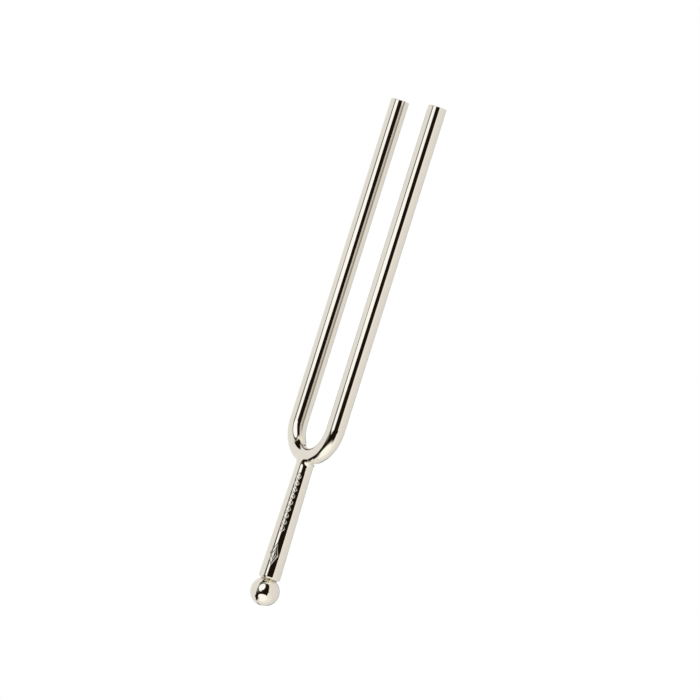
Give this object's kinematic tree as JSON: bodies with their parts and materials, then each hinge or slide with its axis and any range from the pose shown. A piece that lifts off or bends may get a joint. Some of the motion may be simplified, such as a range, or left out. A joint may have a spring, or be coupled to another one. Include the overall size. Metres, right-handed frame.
{
  "type": "tuning fork",
  "caption": "Round-rod tuning fork bent to a U, whose parallel tines spring towards and away from each other, on a tapered stem that ends in a ball.",
  "frame": {"origin": "the ball's lowest point, on the stem's axis, where the fork is set on a sounding surface", "axes": "+Z along the stem from the ball to the tine tips, +X from the left tine to the right tine, +Y through the gap between them"},
  "size_m": [0.018, 0.0064, 0.1123],
  "materials": {
    "plated_rod": "polished nickel plate over steel rod",
    "plated_stem": "polished nickel plate over turned steel",
    "plated_ball": "polished nickel plate over a steel ball",
    "braze": "smooth braze run, plated over with the rest",
    "neck_braze": "thinly plated braze, warm where the plate is thin"
  },
  "bodies": {
    "fork_body": {"yoke": "plated_rod", "braze_collar": "braze", "stem": "plated_stem", "neck_spigot": "neck_braze", "ball_foot": "plated_ball"},
    "left_tine": {"left_tine": "plated_rod"},
    "right_tine": {"right_tine": "plated_rod"}
  },
  "joints": [
    {"name": "left_tine_flex", "type": "hinge", "parent": "fork_body", "child": "left_tine", "pos_m": [-0.007, 0, 0.0433], "axis": [0, 1, 0], "range_deg": [-0.7, 0.7], "stiffness_Nm_per_rad": 72},
    {"name": "right_tine_flex", "type": "hinge", "parent": "fork_body", "child": "right_tine", "pos_m": [0.007, 0, 0.0433], "axis": [0, 1, 0], "range_deg": [-0.7, 0.7], "stiffness_Nm_per_rad": 72}
  ],
  "couplings": [
    {"joint": "right_tine_flex", "follows": "left_tine_flex", "ratio": -1}
  ]
}
